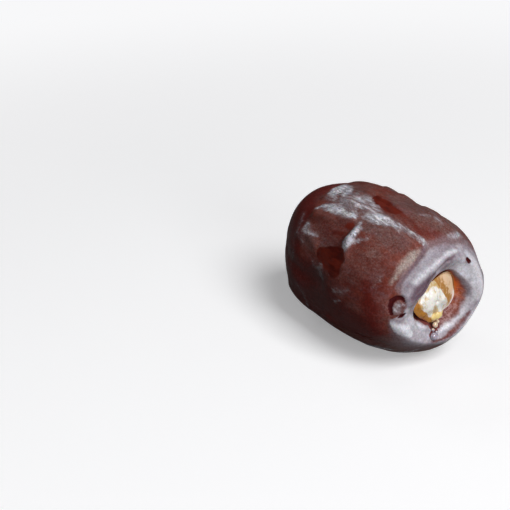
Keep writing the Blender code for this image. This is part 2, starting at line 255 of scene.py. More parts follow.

# Dark places round the beads of juice and in the gap beside the plug: partly wet flesh, partly painted shade
# under the beads and in the gap
WET_AND_SHADED_PATCHES = (
    (((6.3, 172, 0.95), (5.5, 176, 0.8), (4.8, 178, 0.8)), 1),
    (((4.4, 158, 0.4), (4.8, 178, 0.7), (5.1, 189, 0.45)), 1),
    (((4.8, 106, 0.1), (4.5, 122, 0.28), (4.4, 138, 0.3), (4.4, 154, 0.35)), 0.9),
)

# Patches strewn over the hidden sides and the tip: count, half width, strength, runs, turns, half lengths
STREWN = {
    "strokes": (38, 0.9, 1, (14, 46), (140, 312), (1.5, 6)),
    "windows": (5, 1.2, 0.8, (14, 46), (140, 312), (0.8, 2.2)),
    "tip_strokes": (5, 0.6, 0.8, (46, 50.5), (0, 360), (0.8, 2)),
    "pale": (6, 1, 0.8, (14, 46), (140, 312), (1.5, 6)),
}
STREWN_SEED = 11
STREWN_BENDS = (-9, 9)  # degrees of turn from its middle to its ends
STREWN_WIDTHS = (0.4, 1.3)
STREWN_STRENGTHS = (0.5, 1)
SPOT_PLACES = (-1, -0.3, 0.3, 1)  # a strewn patch's four spots, in half lengths from its middle
SPOT_TAPER = 0.6

# Where the lavender film of the lip ends: turn, run, how gradually, and how far a thin veil of it runs on
FILM_EDGE = (
    (-180, 8.4, 1.6, 1.6), (-170, 9, 1.8, 1.6), (-151, 9.7, 1.8, 1.6), (-136, 10.2, 1.8, 1.6),
    (-124, 10.4, 1.8, 1.6), (-114, 10.2, 1.8, 1.6), (-100, 10, 1.8, 1.6), (-88, 10, 1.8, 1.6),
    (-75, 10.4, 1.8, 2), (-53, 12, 2, 2.5), (-38, 11.8, 1.8, 3), (-20, 11, 1.6, 3),
    (0, 10.9, 1.4, 2.6), (11, 10.6, 1.2, 2.3), (19, 9.9, 1, 2), (26, 9.4, 0.9, 1.8), (44, 9.3, 1, 1.8),
    (57, 9.1, 1.2, 1.8), (63, 8.9, 1.2, 1.5), (70, 8, 1, 0.6), (78, 7.7, 0.6, 0.3), (88, 8.4, 0.4, 0.3),
    (95, 9.9, 0.4, 0.4), (107, 9.8, 0.8, 0.8), (118, 9.5, 2.2, 3), (133, 9.4, 3.8, 4.8),
    (150, 9.2, 4.2, 5.2), (166, 8.3, 3.2, 4),
)

# A gap in the film along the low rim, where red skin shows
FILM_GAPS = (
    (((7.4, -116, 0.1), (7.2, -130, 0.45), (7.1, -145, 0.55), (7.1, -162, 0.55), (7.2, -180, 0.45),
      (7.4, -192, 0.2)), 0.85),
)

# Where the film reaches over the pit's mouth: turn, half width in degrees, minus how far
FILM_OVERHANGS = ((-80, 34, -0.3), (140, 24, -0.1))

# The part of the pit's wall that is bare and red
RED_WALL_TURN = -64
RED_WALL_REACH = 50

FRONT_RUN = 16 * MM  # the pit's masks end here
FLESH_EDGE = 1.2 * MM
FLESH_STRAY = 0.5  # how far the edges follow the common stray
FILM_STRAY = 0.6
VEIL_STRAY = 1.2
VEIL_STRENGTH = 1.2  # how far the silver's grey veil and its bright middle follow the patches
CORE_STRENGTH = 0.84
PLEAT_SPREAD = 0.4  # either way from the stored mask's middle
THREAD_SPREAD = 0.5

# Soft noises of the skin, as layers: height, size of the lumps in millimetres, seed
STRAY = ((0.35 * MM, 2.2, 1), (0.25 * MM, 0.8, 2))
WRINKLES = ((1, (5, 1.3, 1.3), 3), (0.5, (2.4, 0.7, 0.7), 4))
CRINKLES = ((1, 0.9, 5), (0.6, 0.5, 6))

# The same on a tube of 1 mm radius, with the millimetres of run that make 1 mm of its length
PLEATS = (40, ((1, 0.16, 7), (0.6, 0.08, 8)))
THREADS = (20, ((1, 0.045, 9),))
SHRIVEL = (30, ((1, 0.32, 12), (0.5, 0.15, 13)))

# Fine relief, and the runs over which it comes and goes
WRINKLE_HEIGHT = 0.03 * MM
SHRIVEL_HEIGHT = 0.1 * MM
CRINKLE_HEIGHT = 0.006 * MM
LIFTED_CRINKLE_HEIGHT = 0.03 * MM
PLEAT_HEIGHT = 0.03 * MM
PLEAT_FADE = 1 * MM
SILVER_LIFT = 0.1 * MM
PEELED_DEPTH = 0.08 * MM
TEAR_EDGE = 0.3 * MM
BODY_START = 9 * MM
BODY_FADE = 4 * MM
SHRIVEL_START = 40 * MM
SHRIVEL_FADE = 8 * MM
SHRIVEL_END_FADE = 2.5 * MM

TURNS = 320
FLOOR_RINGS = 14
WALL_RINGS = 40
BOWL_RINGS = 56
BODY_RINGS = 188
PROFILE_SAMPLES = 4000
LEAST_RADIUS = 0.5 * MM  # keeps distances round the poles from shrinking to nothing
SCRAMBLERS = (374761393, 668265263, 1440662683, 1274126177)  # large odd numbers for the lattice


def smooth_step(value):
    """Rises from 0 to 1 with level ends: three times the square less twice the cube, held to 0 and 1."""
    held = np.clip(value, 0, 1)
    return held * held * (3 - 2 * held)


def bell(value):
    """A bump of height 1 at 0, about 1 wide each way: e to the power of minus the square."""
    return np.exp(-value * value)


def round_bump(along, across, half_width, height):
    """A round bell about 0, 0, with its half width and height in millimetres."""
    return height * MM * bell(np.hypot(along, across) / (half_width * MM))


def turn_from(turn, degrees):
    """The shorter way round to turn from so many degrees: the angle of the difference's sine and cosine."""
    away = turn - math.radians(degrees)
    return np.arctan2(np.sin(away), np.cos(away))


def turn_bell(turn, middle, half_width):
    """A bell over the turn, with its middle and half width in degrees."""
    return bell(turn_from(turn, middle) / math.radians(half_width))


def waved_radius(turn, radius, waves):
    """A circle's radius plus a bell for each wave, at its own turn and with its own height."""
    result = np.full_like(turn, radius)
    for middle, half_width, height in waves:
        result = result + height * MM * turn_bell(turn, middle, half_width)
    return result


def side_outline():
    """The barrel's side outline, a squarish ellipse, from the stem pole to the tip: run, x, radius."""
    angle = np.linspace(0, math.pi, PROFILE_SAMPLES)
    along = np.cos(angle)
    x = HALF_LENGTH * along
    radius = HALF_WIDTH * (1 - np.abs(along) ** BARREL) ** (1 / BARREL)
    radius = radius * (1 + STEM_END_WIDER * along)
    run = np.concatenate(([0], np.cumsum(np.hypot(np.diff(x), np.diff(radius)))))
    return run, x, radius


RUN, OUTLINE_X, OUTLINE_RADIUS = side_outline()
FRONT = slice(0, PROFILE_SAMPLES // 3)  # the part of the outline that crosses the stem end


def run_at_radius(radius):
    """The length run along the outline to where the stem end has this radius."""
    return np.interp(radius, OUTLINE_RADIUS[FRONT], RUN[FRONT])


def wall_width(turn):
    """The pit's wall is steep on one side and sloped on the other, with a cosine of the turn between."""
    return STEEP_WALL + (SLOPED_WALL - STEEP_WALL) * (0.5 - 0.5 * np.cos(turn - LEAN))


def wall_radius(turn, level):
    """The radius of the pit's wall at a level: 0 is the wall's top edge, and 1 its foot."""
    mouth = waved_radius(turn, MOUTH_RADIUS, MOUTH_WAVES)
    return mouth + wall_width(turn) * (WALL_OUTSIDE_MOUTH - level)


def stem_end_relief(radius, turn):
    """Heights along x above the plain barrel: lip, furrow and knobs as bells, bowl and pit as steps."""
    lip = waved_radius(turn, LIP_RADIUS, LIP_WAVES)
    mouth = waved_radius(turn, MOUTH_RADIUS, MOUTH_WAVES)
    groove = bell((turn - GROOVE_TURN) / GROOVE_REACH) * bell((radius - lip - GROOVE_OUT) / GROOVE_WIDTH)
    relief = LIP_HEIGHT * bell((radius - lip) / LIP_WIDTH) - GROOVE_DEPTH * groove
    relief = relief - BOWL_DEPTH * smooth_step((lip - radius) / (lip - mouth))
    for middle_radius, middle_turn, half_width, height in LIP_KNOBS:
        across = middle_radius * MM * turn_from(turn, middle_turn)
        relief = relief + round_bump(radius - middle_radius * MM, across, half_width, height)
    return relief - PIT_DEPTH * smooth_step((wall_radius(turn, 0) - radius) / wall_width(turn))


def leg_edge(along, across, leg_along, leg_across, width_start, width_end):
    """Signed distance to a straight stroke from 0, 0: the distance to its line less its half width there."""
    share = (along * leg_along + across * leg_across) / (leg_along ** 2 + leg_across ** 2)
    share = np.clip(share, 0, 1)
    away = np.hypot(along - share * leg_along, across - share * leg_across)
    return away - width_start - (width_end - width_start) * share


def distance_to_fold(x, turn, points):
    """Distance to a fold's line, the nearest of its legs, over the skin unrolled at the full width."""
    edges = []
    for (x0, turn0), (x1, turn1) in zip(points, points[1:]):
        leg = ((x1 - x0) * MM, HALF_WIDTH * math.radians(turn1 - turn0))
        edges.append(leg_edge(x - x0 * MM, HALF_WIDTH * (turn - math.radians(turn0)), *leg, 0, 0))
    return np.min(edges, axis=0)


def skin_relief(x, turn):
    """Main folds as bells round their lines, then bulges as round bells, then swells as crossed cosines."""
    relief = np.zeros_like(x)
    for points, half_width, height in FOLDS:
        relief = relief + height * MM * bell(distance_to_fold(x, turn, points) / (half_width * MM))
    for middle_x, middle_turn, half_width, height in BULGES:
        across = HALF_WIDTH * turn_from(turn, middle_turn)
        relief = relief + round_bump(x - middle_x * MM, across, half_width, height)
    for along, around, phase, height in SWELLS:
        lengthwise = np.cos(along * math.pi * x / HALF_LENGTH + math.radians(phase))
        relief = relief + height * MM * lengthwise * np.cos(around * turn + along)
    return relief


def tip_relief(radius, turn):
    """How far the tip sinks in: its scar as a bell, its puckers as cosines of the turn that die out."""
    puckers = 0.5 + 0.5 * np.cos(TIP_PUCKERS * turn + TIP_PUCKER_STRAY * np.sin(2 * turn))
    reach = smooth_step(radius / TIP_SCAR_RADIUS) * bell(radius / TIP_PUCKER_REACH)
    return TIP_PUCKER_DEPTH * puckers * reach + TIP_SCAR_DEPTH * bell(radius / TIP_SCAR_RADIUS)


def main_surface(run, turn):
    """The barrel's outline turned round its length, moved out by the main relief, and along x at the stem."""
    base_x = np.interp(run, RUN, OUTLINE_X)
    base_radius = np.interp(run, RUN, OUTLINE_RADIUS)
    step = RUN[-1] / PROFILE_SAMPLES
    slope_x, slope_r = (
        np.interp(run + step, RUN, line) - np.interp(run - step, RUN, line)
        for line in (OUTLINE_X, OUTLINE_RADIUS)
    )
    length = np.hypot(slope_x, slope_r)
    out_x, out_r = slope_r / length, -slope_x / length
    at_stem = base_x > 0
    body = smooth_step(base_radius / (SMOOTH_END * HALF_WIDTH))
    out = skin_relief(base_x, turn) * body
    out = out - np.where(at_stem, 0, tip_relief(base_radius, turn))
    end = np.where(at_stem, stem_end_relief(base_radius, turn), 0)
    radius = base_radius + out * out_r
    x = base_x + out * out_x + end
    z = radius * np.cos(turn) * HALF_HEIGHT / HALF_WIDTH + BEND * (1 - (base_x / HALF_LENGTH) ** 2)
    return np.stack((x, -radius * np.sin(turn), z), axis=-1)


def lattice_value(column, row, layer, seed):
    """A fixed random number from -1 to 1 for each whole-number place, from its scrambled bits."""
    mixed = sum(number * scrambler for number, scrambler in zip((column, row, layer, seed), SCRAMBLERS))
    mixed = mixed & 0xFFFFFFFF
    mixed = ((mixed ^ (mixed >> 13)) * SCRAMBLERS[-1]) & 0xFFFFFFFF
    return ((mixed ^ (mixed >> 16)) & 0xFFFF) / 32767.5 - 1


def soft_noise(points, size, seed):
    """Smooth noise from -1 to 1: random corners of a lattice of this size, smoothly blended between."""
    scaled = points / np.asarray(size)
    cell = np.floor(scaled).astype(np.int64)
    inside = smooth_step(scaled - cell)
    total = 0
    for corner in range(8):
        step = np.array((corner & 1, corner >> 1 & 1, corner >> 2 & 1))
        weight = np.prod(np.where(step == 1, inside, 1 - inside), axis=-1)
        place = cell + step
        total = total + weight * lattice_value(place[..., 0], place[..., 1], place[..., 2], seed)
    return total


def layered_noise(points, layers):
    """The sum of soft noises, each times its own height and with its own size of lumps and seed."""
    return sum(height * soft_noise(points, np.asarray(size) * MM, seed) for height, size, seed in layers)


def tube_noise(run, turn, shortening, layers):
    """Noise drawn out along the fruit: on a tube of 1 mm radius, as long as the run over the shortening."""
    tube = np.stack((np.cos(turn), np.sin(turn), run / (shortening * MM)), axis=-1)
    return layered_noise(tube * MM, layers)


def patch_edge(run, turn, spine):
    """Signed distance over the skin to a patch's edge, negative inside: the nearest of its strokes."""
    radius = np.maximum(np.interp(run, RUN, OUTLINE_RADIUS), LEAST_RADIUS)
    edges = []
    for (run0, turn0, width0), (run1, turn1, width1) in zip(spine, spine[1:]):
        across = radius * turn_from(turn, turn0)
        leg = ((run1 - run0) * MM, radius * math.radians(turn1 - turn0))
        edges.append(leg_edge(run - run0 * MM, across, *leg, width0 * MM, width1 * MM))
    return np.min(edges, axis=0)


def coverage(run, turn, patches, stray, softness):
    """How far each place is covered by patches, 0 to 1, with edges that stray and are this soft."""
    covered = np.zeros_like(run)
    for spine, strength in patches:
        edge = patch_edge(run, turn, spine) + stray
        covered = np.maximum(covered, strength * smooth_step(0.5 - edge / softness))
    return covered


def strewn_patches(count, half_width, strength, runs, turns, half_lengths, draw):
    """Lengthwise patches in a range of runs and turns, each a bent chain of four spots drawn at random."""
    patches = []
    for _ in range(count):
        run, turn = draw.uniform(*runs), draw.uniform(*turns)
        length, bend = draw.uniform(*half_lengths), draw.uniform(*STREWN_BENDS)
        width = half_width * draw.uniform(*STREWN_WIDTHS)
        spots = tuple(
            (run + length * place, turn + bend * place * place, width * (1 - SPOT_TAPER * abs(place)))
            for place in SPOT_PLACES
        )
        patches.append((spots, strength * draw.uniform(*STREWN_STRENGTHS)))
    return tuple(patches)


def grid_normals(points):
    """Outward unit normals of a closed ring grid, from the cross product of its two directions."""
    around = np.roll(points, -1, axis=1) - np.roll(points, 1, axis=1)
    along = np.gradient(points, axis=0)
    normals = np.cross(along, around)
    return normals / np.maximum(np.linalg.norm(normals, axis=-1, keepdims=True), 1e-12)


def skin_runs(turn):
    """Rings of the skin: over the pit's floor, up its wall, over the bowl to the lip, and along the body."""
    levels = np.linspace(1, 0, WALL_RINGS)
    run_wall = np.stack([run_at_radius(wall_radius(turn, level)) for level in levels])
    run_lip = run_at_radius(waved_radius(turn, LIP_RADIUS, LIP_WAVES))
    floor = np.arange(1, FLOOR_RINGS) / FLOOR_RINGS
    bowl = np.arange(1, BOWL_RINGS + 1) / BOWL_RINGS
    body = np.arange(1, BODY_RINGS) / BODY_RINGS
    return np.concatenate((
        np.outer(floor, run_wall[0]),
        run_wall,
        run_wall[-1] + np.outer(bowl, run_lip - run_wall[-1]),
        run_lip + np.outer(body, RUN[-1] - run_lip),
    ))


def ring_mesh(name, first_pole, rings, last_pole):
    """A closed mesh from a grid of rings, joined ring to ring, with a fan to a pole at each end."""
    count, turns = rings.shape[:2]
    index = np.arange(count * turns).reshape(count, turns)
    after = np.roll(index, -1, axis=1)
    quads = np.stack((index[:-1], after[:-1], after[1:], index[1:]), axis=-1).reshape(-1, 4)
    first, last = count * turns, count * turns + 1
    fan = np.stack((np.full(turns, first), after[0], index[0]), axis=-1)
    last_fan = np.stack((np.full(turns, last), index[-1], after[-1]), axis=-1)
    points = np.concatenate((rings.reshape(-1, 3), [first_pole, last_pole]))
    mesh = bpy.data.meshes.new(name)
    mesh.from_pydata(points.tolist(), [], quads.tolist() + fan.tolist() + last_fan.tolist())
    mesh.shade_smooth()
    return mesh


def store_masks(mesh, masks):
    """Stores each mask on the points of a ring mesh, with the mean of the end rings at the two poles."""
    for name, mask in masks.items():
        values = np.concatenate((mask.ravel(), (mask[0].mean(), mask[-1].mean()))).astype(np.float32)
        mesh.attributes.new(name, "FLOAT", "POINT").data.foreach_set("value", values)


turn_line = np.linspace(-math.pi, math.pi, TURNS, endpoint=False)
run = skin_runs(turn_line)
turn = np.broadcast_to(turn_line, run.shape)
radius = np.interp(run, RUN, OUTLINE_RADIUS)
skin = main_surface(run, turn)
fruit_low, fruit_high = (np.array(corner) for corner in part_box("date_fruit"))
to_frame = 0.5 * (fruit_low + fruit_high - skin.min(axis=(0, 1)) - skin.max(axis=(0, 1)))
to_frame[2] = fruit_low[2] - FLAT_SPOT_SINK - skin[..., 2].min()
skin = skin + to_frame

# Kinds of patches: the patches, how far their edges follow the stray, how soft they are in millimetres
draw = np.random.default_rng(STREWN_SEED)
strewn = {name: strewn_patches(*values, draw) for name, values in STREWN.items()}
patch_kinds = {
    "silver": (SILVER_PATCHES + strewn["strokes"] + strewn["tip_strokes"], 0.8, 2.2),
    "pale": (PALE_PATCHES + strewn["pale"], 1, 1.8),
    "peeled": (PEELED_PATCHES + strewn["windows"], 0.9, 0.9),
    "clear": (CLEAR_PATCHES, 2, 3),
    "torn": (tuple((spine, 1) for spine, depth in TEARS), 0.3, 0.3),
    "wet": (WET_AND_SHADED_PATCHES, 0.4, 0.4),
    "whiter_film_and_highlight": (WHITER_FILM_AND_HIGHLIGHT_PATCHES, 0.6, 0.8),
    "painted_shade": (PAINTED_SHADE_PATCHES, 0.6, 0.9),
    "hazy": (HAZY_PATCHES, 2, 3),
    "gap": (FILM_GAPS, 0.8, 0.9),
}
stray = layered_noise(skin, STRAY)
masks = {
    name: coverage(run, turn, patches, share * stray, softness * MM)
    for name, (patches, share, softness) in patch_kinds.items()
}

# The film of the lip, its veil, and the bare flesh of the pit
edge_turns, *edge_columns = (np.array(column, dtype=float) for column in zip(*FILM_EDGE))
film_run, film_soft, veil_reach = (
    np.interp(np.degrees(turn_line), edge_turns, column, period=360) * MM for column in edge_columns
)
mouth_edge = waved_radius(turn, MOUTH_RADIUS, MOUTH_WAVES)
bare_edge = waved_radius(turn, MOUTH_RADIUS, MOUTH_WAVES + FILM_OVERHANGS)
flesh = smooth_step(0.5 + (bare_edge + FLESH_STRAY * stray - radius) / FLESH_EDGE) * (run < FRONT_RUN)
filmed = (1 - flesh) * (1 - masks.pop("gap"))
film = smooth_step(0.5 + (film_run + FILM_STRAY * stray - run) / film_soft) * filmed
veil = smooth_step((film_run + veil_reach + VEIL_STRAY * stray - run) / veil_reach) * filmed
red_side = turn_bell(turn, RED_WALL_TURN, RED_WALL_REACH) ** 2
pleats, threads = tube_noise(run, turn, *PLEATS), tube_noise(run, turn, *THREADS)
silver, peeled = masks.pop("silver"), masks["peeled"]
masks.update(silver_veil=VEIL_STRENGTH * silver, silver_core=CORE_STRENGTH * silver)
masks.update(flesh=flesh, film=film, veil=veil, red_wall=flesh * red_side)
masks.update(pleats=0.5 + PLEAT_SPREAD * pleats, threads=0.5 + THREAD_SPREAD * threads)

# The fine relief, which moves the skin along its normals
body = smooth_step((run - BODY_START) / BODY_FADE)
towards_tip = smooth_step((run - SHRIVEL_START) / SHRIVEL_FADE)
towards_tip = towards_tip * smooth_step((RUN[-1] - run) / SHRIVEL_END_FADE)
crinkles = CRINKLE_HEIGHT + LIFTED_CRINKLE_HEIGHT * np.maximum(silver, masks["pale"])
fine = WRINKLE_HEIGHT * layered_noise(skin, WRINKLES) * body
fine = fine + SHRIVEL_HEIGHT * tube_noise(run, turn, *SHRIVEL) * towards_tip
fine = fine + crinkles * layered_noise(skin, CRINKLES) * (1 - flesh) * (1 - peeled)
fine = fine + PLEAT_HEIGHT * film * pleats * smooth_step((radius - mouth_edge) / PLEAT_FADE)
fine = fine + SILVER_LIFT * silver * body - PEELED_DEPTH * peeled
for spine, height in RIDGES:
    away = patch_edge(run, turn, tuple((place[0], place[1], 0) for place in spine))
    width = np.interp(np.degrees(turn), *zip(*sorted((place[1], place[2]) for place in spine))) * MM
    fine = fine + height * MM * bell(away / width)
for spine, depth in TEARS:
    fine = fine - depth * MM * smooth_step(0.5 - patch_edge(run, turn, spine) / TEAR_EDGE)
skin = skin + fine[..., None] * grid_normals(skin)
skin[..., 2] = np.maximum(skin[..., 2], fruit_low[2])
fruit_mesh = ring_mesh("date", skin[0].mean(axis=0), skin, skin[-1].mean(axis=0))
store_masks(fruit_mesh, masks)


def fill(tree, node, inputs):
    """Sets a node's inputs to numbers and colours, or links them to other nodes' outputs."""
    for name, value in inputs.items():
        if isinstance(value, bpy.types.NodeSocket):
            tree.links.new(value, node.inputs[name])
        else:
            node.inputs[name].default_value = value


def add_node(tree, kind, inputs=None, **settings):
    """Adds a node, sets its settings, then fills its inputs."""
    node = tree.nodes.new(kind)
    for name, value in settings.items():
        setattr(node, name, value)
    fill(tree, node, inputs or {})
    return node


def new_material(name):
    """A material with its node tree and the place on the piece."""
    material = bpy.data.materials.new(name)
    material.use_nodes = True
    tree = material.node_tree
    return material, tree, add_node(tree, "ShaderNodeTexCoord").outputs["Object"]


def attribute(tree, name):
    """A mask stored on the mesh."""
    return add_node(tree, "ShaderNodeAttribute", attribute_name=name).outputs["Fac"]


def node_after(kind, inputs, **settings):
    """Adds a node to the tree of an output that one of its inputs links to."""
    tree = next(value.id_data for value in inputs.values() if isinstance(value, bpy.types.NodeSocket))
    return add_node(tree, kind, inputs, **settings)


def noise(place, scaling, lumps, detail, roughness, distortion):
    """Soft noise from 0 to 1, with so many lumps to a metre of the place, scaled along each axis."""
    place = node_after("ShaderNodeMapping", {"Vector": place, "Scale": scaling}).outputs["Vector"]
    inputs = {"Vector": place, "Scale": lumps, "Detail": detail}
    inputs.update({"Roughness": roughness, "Distortion": distortion})
    return node_after("ShaderNodeTexNoise", inputs).outputs["Fac"]


def ramp(value, low, high, start=0, end=1):
    """A smooth step from start to end as value goes from low to high."""
    inputs = {"Value": value, "From Min": low, "From Max": high, "To Min": start, "To Max": end}
    return node_after("ShaderNodeMapRange", inputs, interpolation_type="SMOOTHSTEP").outputs["Result"]


def joined(operation, first, second=0):
    """Two numbers joined by an operation."""
    return node_after("ShaderNodeMath", {0: first, 1: second}, operation=operation).outputs[0]


def product(first, second):
    """The first number times the second."""
    return joined("MULTIPLY", first, second)


def total(first, second):
    """The first number plus the second."""
    return joined("ADD", first, second)


def mix_number(share, first, second):
    """The first number where share is 0 and the second where it is 1."""
    inputs = {"Value": share, "To Min": first, "To Max": second}
    return node_after("ShaderNodeMapRange", inputs).outputs["Result"]


def mix_colour(share, first, second):
    """The first colour where share is 0 and the second where it is 1: the node's sockets 6, 7 and 2."""
    return node_after("ShaderNodeMix", {0: share, 6: first, 7: second}, data_type="RGBA").outputs[2]


def bumped(height, lift):
    """The normal of a surface that stands out by the lift where the height is 1."""
    return node_after("ShaderNodeBump", {"Height": height, "Distance": lift, "Strength": 1}).outputs[0]


def painted(colour, layers):
    """The colour with each layer laid over the last, as far as the layer's share says."""
    for share, layer in layers:
        colour = mix_colour(share, colour, layer)
    return colour


# How the place of a pattern is scaled along x, y and z
EVEN = (1, 1, 1)
LENGTHWISE = (0.35, 1, 1)
FRAY_DETAIL = (5, 0.65, 0)


def frayed_edge_group():
    """A node group that frays and sharpens a mask: the mask plus fine noise, stepped round a half."""
    group = bpy.data.node_groups.new("frayed_edge", "ShaderNodeTree")
    for name in ("Mask", "Fray", "Softness", "Lumps", "Place", "Scaling"):
        kind = "NodeSocketVector" if name in ("Place", "Scaling") else "NodeSocketFloat"
        group.interface.new_socket(name, in_out="INPUT", socket_type=kind)
    group.interface.new_socket("Mask", in_out="OUTPUT", socket_type="NodeSocketFloat")
    given = group.nodes.new("NodeGroupInput").outputs
    fray = joined("SUBTRACT", noise(given["Place"], given["Scaling"], given["Lumps"], *FRAY_DETAIL), 0.5)
    mask = total(given["Mask"], product(fray, given["Fray"]))
    low, high = joined("SUBTRACT", 0.5, given["Softness"]), total(0.5, given["Softness"])
    fill(group, group.nodes.new("NodeGroupOutput"), {"Mask": ramp(mask, low, high)})
    return group


FRAYED_EDGE = frayed_edge_group()


def frayed_masks(tree, place, table):
    """Each stored mask of a table, with the frayed edge that its row gives."""
    masks = {}
    for name, (scaling, fray, softness, lumps) in table.items():
        inputs = {"Mask": attribute(tree, name), "Place": place, "Scaling": scaling, "Fray": fray}
        inputs.update({"Softness": softness, "Lumps": lumps})
        masks[name] = add_node(tree, "ShaderNodeGroup", inputs, node_tree=FRAYED_EDGE).outputs["Mask"]
    return masks


def named_noises(place, table):
    """Each noise of a table, smoothly ramped where its row goes on with a ramp's ends."""
    noises = {}
    for name, (row, *ends) in table.items():
        plain = noise(place, *row)
        noises[name] = ramp(plain, *ends) if ends else plain
    return noises


# Noises: scaling, lumps to a metre, detail, roughness, distortion. Then come the ends of a ramp, if there
# is one: from and to what it reads, and what it gives at each end where that isn't 0 and 1
STREAKS = ((0.25, 1, 1), 2600, 5, 0.65, 0)
SKIN_NOISES = {
    "mottle": ((LENGTHWISE, 260, 6, 0.6, 0), 0.32, 0.68),
    "drifts": ((LENGTHWISE, 210, 5, 0.6, 0), 0.36, 0.66, 0.04, 0.5),
    "clouds": ((LENGTHWISE, 480, 6, 0.7, 0.5), 0.5, 0.66, 0, 0.5),
    "cloud_streaks": (STREAKS, 0.35, 0.6, 0.4, 1),
    "pale_streaks": (STREAKS, 0.3, 0.6, 0.45, 0.85),
    "grain": ((EVEN, 3600, 6, 0.7, 0),),
    "flakes": ((LENGTHWISE, 1500, 6, 0.7, 0.6),),
    "speckle": ((EVEN, 3000, 4, 0.65, 0), 0.3, 0.7, 0.72, 1.28),
    "crease_shade": (((0.22, 1, 1), 1000, 4, 0.6, 0.4),),
    "painted_glints": (((0.3, 1.2, 0.9), 1500, 5, 0.65, 0.6), 0.49, 0.62),
    "film": ((EVEN, 700, 6, 0.62, 0), 0.34, 0.66, 0, 0.42),
    "peeled": ((LENGTHWISE, 650, 6, 0.65, 0), 0.38, 0.62),
    "fleck": ((EVEN, 700, 4, 0.6, 0),),
    "pit_film": ((EVEN, 1700, 6, 0.7, 0), 0.38, 0.64),
}
DUST = (0.38, 0.62, 0.1, 0.8)
HAZY_DUST = (0.36, 0.64, 0.1, 0.75)
CREASES = (0, 0.045, 0.75, 0)
PLEAT_TONE = (0.35, 0.85, 0, 0.5)
PIT_TONE = (0.3, 0.52)
SKIN_ROUGHNESS = (0.3, 0.7, 0.36, 0.48)

# Masks whose edges fray: scaling, fray, softness, lumps to a metre
SKIN_EDGES = {
    "silver_veil": (LENGTHWISE, 0.8, 0.45, 1500),
    "silver_core": (LENGTHWISE, 1, 0.32, 1300),
    "pale": (EVEN, 0.8, 0.45, 1500),
    "peeled": (EVEN, 0.45, 0.28, 1900),
    "torn": (EVEN, 0.5, 0.3, 3000),
    "film": (EVEN, 0.8, 0.4, 1900),
    "veil": (LENGTHWISE, 0.9, 0.48, 1600),
    "flesh": (EVEN, 0.6, 0.45, 2200),
    "wet": (EVEN, 0.4, 0.3, 2500),
}
SOFT_MASKS = ("clear", "hazy", "painted_shade", "whiter_film_and_highlight", "pleats", "threads", "red_wall")

SKIN_DEEP = (0.118, 0.017, 0.0105, 1)
SKIN_WARM = (0.21, 0.048, 0.031, 1)
PEELED_FLESH = (0.16, 0.02, 0.011, 1)
PEELED_DARK = (0.08, 0.0085, 0.0055, 1)
FILM = (0.45, 0.415, 0.465, 1)
# The film's white: partly whiter film, mostly a painted highlight
FILM_WHITE_AND_HIGHLIGHT = (0.74, 0.74, 0.8, 1)
# The film's dark tone, for its mottle and pleats, and the colour of its painted shade
FILM_DARK_AND_SHADE = (0.145, 0.093, 0.12, 1)
PIT_FILM = (0.42, 0.26, 0.26, 1)
PIT_FILM_DARK = (0.19, 0.065, 0.055, 1)
PIT_RED = (1, 0.24, 0.045, 1)
PIT_DARK = (0.48, 0.05, 0.018, 1)

# Layers over the mottled flesh, from the lowest to the top one: its share, how strongly it shows, and its
# colour, or the name of a mixed colour
SKIN_LAYERS = (
    ("clear", 1, (0.118, 0.009, 0.0065, 1)),
    ("hazy", 0.9, (0.095, 0.026, 0.019, 1)),
    ("haze", 1, (0.27, 0.195, 0.19, 1)),
    ("clouds", 1, (0.21, 0.115, 0.125, 1)),
    ("silver_veil", 0.75, (0.23, 0.175, 0.185, 1)),
    # the silvery middle of lifted skin, its bluish white partly a painted sheen
    ("silver_core", 1, (0.62, 0.62, 0.695, 1)),
    # painted shade along fine creases in the silver
    ("crease_shade", 1, (0.12, 0.075, 0.075, 1)),
    # painted glints on the silver
    ("painted_glints", 1, (0.92, 0.91, 0.96, 1)),
    ("straw", 1, (0.4, 0.34, 0.31, 1)),
    ("veil", 0.8, (0.22, 0.15, 0.165, 1)),
    # painted shade on the skin beside the film
    ("painted_shade", 0.75, FILM_DARK_AND_SHADE),
    # the lip's film, with its painted shade and painted highlights
    ("film", 1, "film"),
    ("peeled", 1, "peeled"),
    ("flesh", 1, "pit"),
    # dark places round the beads and beside the plug: partly wet flesh, partly painted shade
    ("wet", 1, (0.16, 0.04, 0.034, 1)),
    ("torn", 1, (0.06, 0.006, 0.007, 1)),
)
ROUGHNESSES = (("silver_core", 0.36), ("film", 0.34), ("peeled", 0.34), ("flesh", 0.4))
SMOOTHNESSES = (("flesh", 1), ("film", 0.35), ("silver_core", 0.6))  # where the speckle fades
CLEAR_CLOUDS = 0.12
PLEAT_SHADE = 0.8
THREAD_SHARE = 0.25
FLAT_FLAKES = 0.3
LIFTED_FLAKES = 0.8
PEELED_FLAKES = 0.1
PIT_FIBRES = 1.5
GRAIN_SHARE = 0.12


def mixed_shares(noises, masks):
    """Shares of dusty haze and mauve clouds, which clear places mostly lack, of painted shade along creases,
    of painted glints, and of straw.
    """
    dust = mix_number(0.5, noises["grain"], noises["flakes"])
    haze = mix_number(masks["clear"], product(ramp(dust, *DUST), noises["drifts"]), 0)
    clouds = product(noises["clouds"], noises["cloud_streaks"])
    crease_shade = joined("ABSOLUTE", joined("SUBTRACT", noises["crease_shade"], 0.5))
    return {
        "haze": mix_number(masks["hazy"], haze, ramp(dust, *HAZY_DUST)),
        "clouds": mix_number(masks["clear"], clouds, product(clouds, CLEAR_CLOUDS)),
        "crease_shade": product(ramp(crease_shade, *CREASES), masks["silver_veil"]),
        "painted_glints": product(noises["painted_glints"], masks["silver_core"]),
        "straw": product(masks["pale"], noises["pale_streaks"]),
    }


